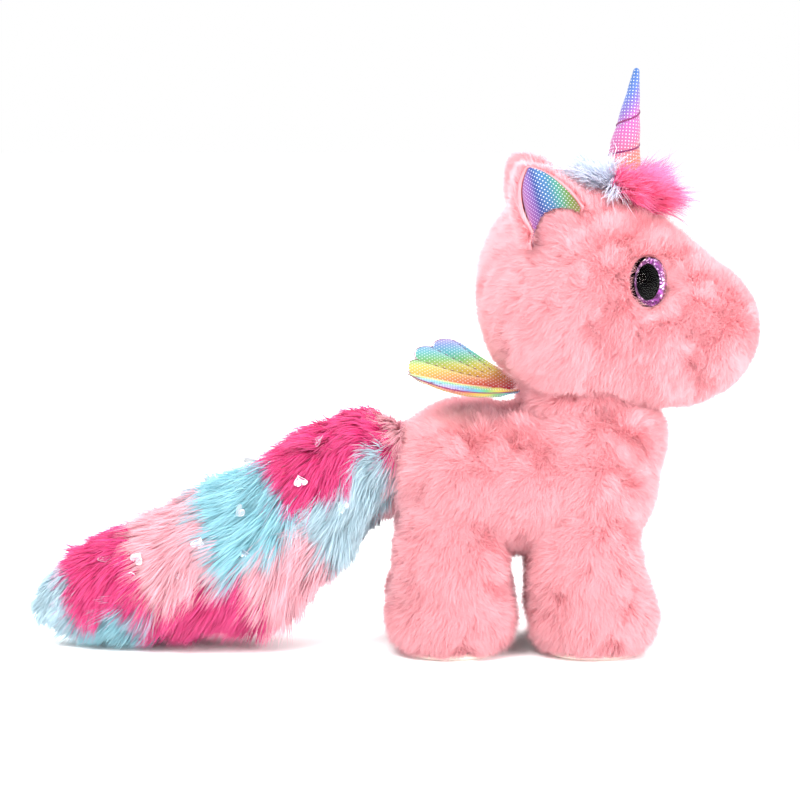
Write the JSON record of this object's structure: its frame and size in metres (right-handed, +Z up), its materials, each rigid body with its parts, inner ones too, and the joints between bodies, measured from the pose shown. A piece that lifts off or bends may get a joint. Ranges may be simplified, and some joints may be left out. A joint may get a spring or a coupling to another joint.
{
  "type": "plush toy",
  "caption": "Standing winged unicorn soft toy with a stuffed horn, foil wings and ears, and a banded shaggy tail",
  "frame": {"origin": "on the ground under the middle of the toy's overall box", "axes": "+X towards the nose, +Y to the toy's left, +Z up"},
  "size_m": [0.2969, 0.0984, 0.2372],
  "materials": {
    "pink_plush": "short polyester pile, combed",
    "polyester_stuffing": "loose fibre",
    "sole_felt": "brushed, cream",
    "foil_cloth": "rainbow print with silver foil dots",
    "thread": "spun polyester",
    "eye_lens": "clear, polished",
    "eye_black": "moulded, glossy",
    "eye_glitter": "purple glitter film",
    "washer_plastic": "moulded",
    "forelock_pink_fur": "long polyester pile",
    "forelock_white_fur": "long polyester pile",
    "blush_shag": "long crimped polyester pile",
    "pink_shag": "long crimped polyester pile",
    "cyan_shag": "long crimped polyester pile",
    "ice_shag": "long crimped polyester pile",
    "sequin_foil": "metallised film, mirror bright"
  },
  "bodies": {
    "torso": {"torso_left": "pink_plush", "torso_right": "pink_plush", "belly_panel": "pink_plush", "torso_stuffing": "polyester_stuffing"},
    "neck": {"neck_collar": "pink_plush", "neck_stuffing": "polyester_stuffing"},
    "head": {"head_left": "pink_plush", "head_right": "pink_plush", "head_gusset": "pink_plush", "head_stuffing": "polyester_stuffing", "eye_washers": "washer_plastic", "forelock_pink": "forelock_pink_fur", "forelock_white": "forelock_white_fur", "eye_lens_left": "eye_lens", "eye_pupil_left": "eye_black", "eye_glitter_left": "eye_glitter", "eye_post_left": "eye_black", "eye_lens_right": "eye_lens", "eye_pupil_right": "eye_black", "eye_glitter_right": "eye_glitter", "eye_post_right": "eye_black"},
    "horn": {"horn_cover": "foil_cloth", "horn_stuffing": "polyester_stuffing", "horn_thread": "thread"},
    "tail_root": {"tail_root": "blush_shag"},
    "tail": {"tail_stuffing": "polyester_stuffing", "tail_tip": "ice_shag", "tail_sequins": "sequin_foil", "tail_top_1": "blush_shag", "tail_top_2": "pink_shag", "tail_top_3": "cyan_shag", "tail_top_4": "blush_shag", "tail_top_5": "pink_shag", "tail_under_1": "ice_shag", "tail_under_2": "blush_shag", "tail_under_3": "pink_shag", "tail_under_4": "cyan_shag"},
    "ear_left": {"ear_plush_left": "pink_plush", "ear_lining_left": "foil_cloth"},
    "wing_left": {"wing_top_left": "foil_cloth", "wing_under_left": "foil_cloth", "wing_batting_left": "polyester_stuffing"},
    "ear_right": {"ear_plush_right": "pink_plush", "ear_lining_right": "foil_cloth"},
    "wing_right": {"wing_top_right": "foil_cloth", "wing_under_right": "foil_cloth", "wing_batting_right": "polyester_stuffing"},
    "leg_front_left": {"leg_front_left": "pink_plush", "leg_stuffing_front_left": "polyester_stuffing", "sole_front_left": "sole_felt"},
    "leg_front_right": {"leg_front_right": "pink_plush", "leg_stuffing_front_right": "polyester_stuffing", "sole_front_right": "sole_felt"},
    "leg_rear_left": {"leg_rear_left": "pink_plush", "leg_stuffing_rear_left": "polyester_stuffing", "sole_rear_left": "sole_felt"},
    "leg_rear_right": {"leg_rear_right": "pink_plush", "leg_stuffing_rear_right": "polyester_stuffing", "sole_rear_right": "sole_felt"}
  },
  "joints": [
    {"name": "neck_turn", "type": "hinge", "parent": "torso", "child": "neck", "pos_m": [0.074, 0, 0.122], "axis": [0, 0, 1], "range_deg": [-18, 18], "stiffness_Nm_per_rad": 1},
    {"name": "neck_nod", "type": "hinge", "parent": "neck", "child": "head", "pos_m": [0.074, 0, 0.122], "axis": [0, 1, 0], "range_deg": [-8, 8], "stiffness_Nm_per_rad": 2},
    {"name": "horn_bend", "type": "hinge", "parent": "head", "child": "horn", "pos_m": [0.0885, 0, 0.1895], "axis": [0, 1, 0], "range_deg": [-15, 15], "stiffness_Nm_per_rad": 0.05},
    {"name": "tail_wag", "type": "hinge", "parent": "torso", "child": "tail_root", "pos_m": [-0.004, 0, 0.074], "axis": [0, 0, 1], "range_deg": [-25, 25], "stiffness_Nm_per_rad": 0.5},
    {"name": "tail_lift", "type": "hinge", "parent": "tail_root", "child": "tail", "pos_m": [-0.004, 0, 0.074], "axis": [0, 1, 0], "range_deg": [0, 30], "stiffness_Nm_per_rad": 1},
    {"name": "ear_fold_left", "type": "hinge", "parent": "head", "child": "ear_left", "pos_m": [0.0575, 0.042, 0.1675], "axis": [-1, 0, 0], "range_deg": [0, 25], "stiffness_Nm_per_rad": 0.02},
    {"name": "wing_flap_left", "type": "hinge", "parent": "torso", "child": "wing_left", "pos_m": [0.043, 0.013, 0.106], "axis": [1, 0, 0], "range_deg": [-10, 10], "stiffness_Nm_per_rad": 0.02},
    {"name": "ear_fold_right", "type": "hinge", "parent": "head", "child": "ear_right", "pos_m": [0.0575, -0.042, 0.1675], "axis": [1, 0, 0], "range_deg": [0, 25], "stiffness_Nm_per_rad": 0.02},
    {"name": "wing_flap_right", "type": "hinge", "parent": "torso", "child": "wing_right", "pos_m": [0.043, -0.013, 0.106], "axis": [-1, 0, 0], "range_deg": [-5, 20], "stiffness_Nm_per_rad": 0.02},
    {"name": "leg_swing_front_left", "type": "hinge", "parent": "torso", "child": "leg_front_left", "pos_m": [0.0775, 0.0225, 0.044], "axis": [0, 1, 0], "range_deg": [-7, 7], "stiffness_Nm_per_rad": 3},
    {"name": "leg_swing_front_right", "type": "hinge", "parent": "torso", "child": "leg_front_right", "pos_m": [0.0775, -0.0225, 0.044], "axis": [0, 1, 0], "range_deg": [-7, 7], "stiffness_Nm_per_rad": 3},
    {"name": "leg_swing_rear_left", "type": "hinge", "parent": "torso", "child": "leg_rear_left", "pos_m": [0.02, 0.0225, 0.044], "axis": [0, 1, 0], "range_deg": [-7, 7], "stiffness_Nm_per_rad": 3},
    {"name": "leg_swing_rear_right", "type": "hinge", "parent": "torso", "child": "leg_rear_right", "pos_m": [0.02, -0.0225, 0.044], "axis": [0, 1, 0], "range_deg": [-7, 7], "stiffness_Nm_per_rad": 3}
  ]
}
